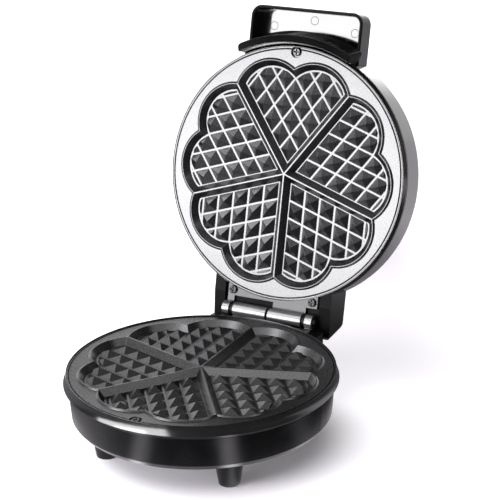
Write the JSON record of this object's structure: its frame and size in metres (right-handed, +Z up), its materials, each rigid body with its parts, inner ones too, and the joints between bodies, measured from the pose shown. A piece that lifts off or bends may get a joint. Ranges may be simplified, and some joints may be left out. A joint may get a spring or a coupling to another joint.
{
  "type": "waffle maker",
  "caption": "Round electric waffle maker with a hinged lid, heart-patterned plates, a hollow front handle and a low drum base on tapered feet, standing open.",
  "frame": {"origin": "middle of the bounding box in plan, at the level of the soles", "axes": "+Z up, -Y is the front where the lid opens, +X along the hinge pin to the right seen from the front"},
  "size_m": [0.2082, 0.3128, 0.2943],
  "materials": {
    "gloss_black": "polished moulded black",
    "satin_black": "satin moulded black",
    "plate_coating": "dark grey non-stick coating on cast aluminium",
    "hinge_steel": "plain rolled steel",
    "screw_steel": "zinc-plated steel",
    "spacer_black": "black moulded rings",
    "foot_black": "black moulded feet",
    "element_steel": "drawn steel tube",
    "reflector_metal": "pressed bright sheet",
    "control_plastic": "ceramic and light phenolic",
    "bush_black": "soft black bush",
    "lens_red": "clear red",
    "lens_green": "clear green"
  },
  "bodies": {
    "base": {"base_bezel": "gloss_black", "base_shell": "satin_black", "bottom_cover": "satin_black", "lower_plate": "plate_coating", "lower_hinge_leaf": "hinge_steel", "hinge_pin": "hinge_steel", "foot_screws": "screw_steel", "lower_plate_screw": "screw_steel", "lower_hinge_screws": "screw_steel", "hinge_spacers": "spacer_black", "foot_front_left": "foot_black", "foot_front_right": "foot_black", "foot_rear_left": "foot_black", "foot_rear_right": "foot_black", "lower_element": "element_steel", "lower_reflector": "reflector_metal", "thermostat": "control_plastic", "thermal_fuse": "control_plastic", "terminal_block": "control_plastic", "cord_inlet": "bush_black"},
    "lid": {"upper_plate": "plate_coating", "upper_plate_screw": "screw_steel", "upper_element": "element_steel", "upper_reflector": "reflector_metal", "lid_shell": "gloss_black", "upper_hinge_leaf": "hinge_steel", "upper_hinge_screws": "screw_steel", "hinge_cover": "satin_black", "handle": "satin_black", "handle_skirt": "satin_black", "handle_screws": "screw_steel", "power_lens": "lens_red", "ready_lens": "lens_green"}
  },
  "joints": [
    {"name": "lid_hinge", "type": "hinge", "parent": "base", "child": "lid", "pos_m": [0, 0.06217, 0.059], "axis": [1, 0, 0], "range_deg": [0, 104.3]}
  ]
}
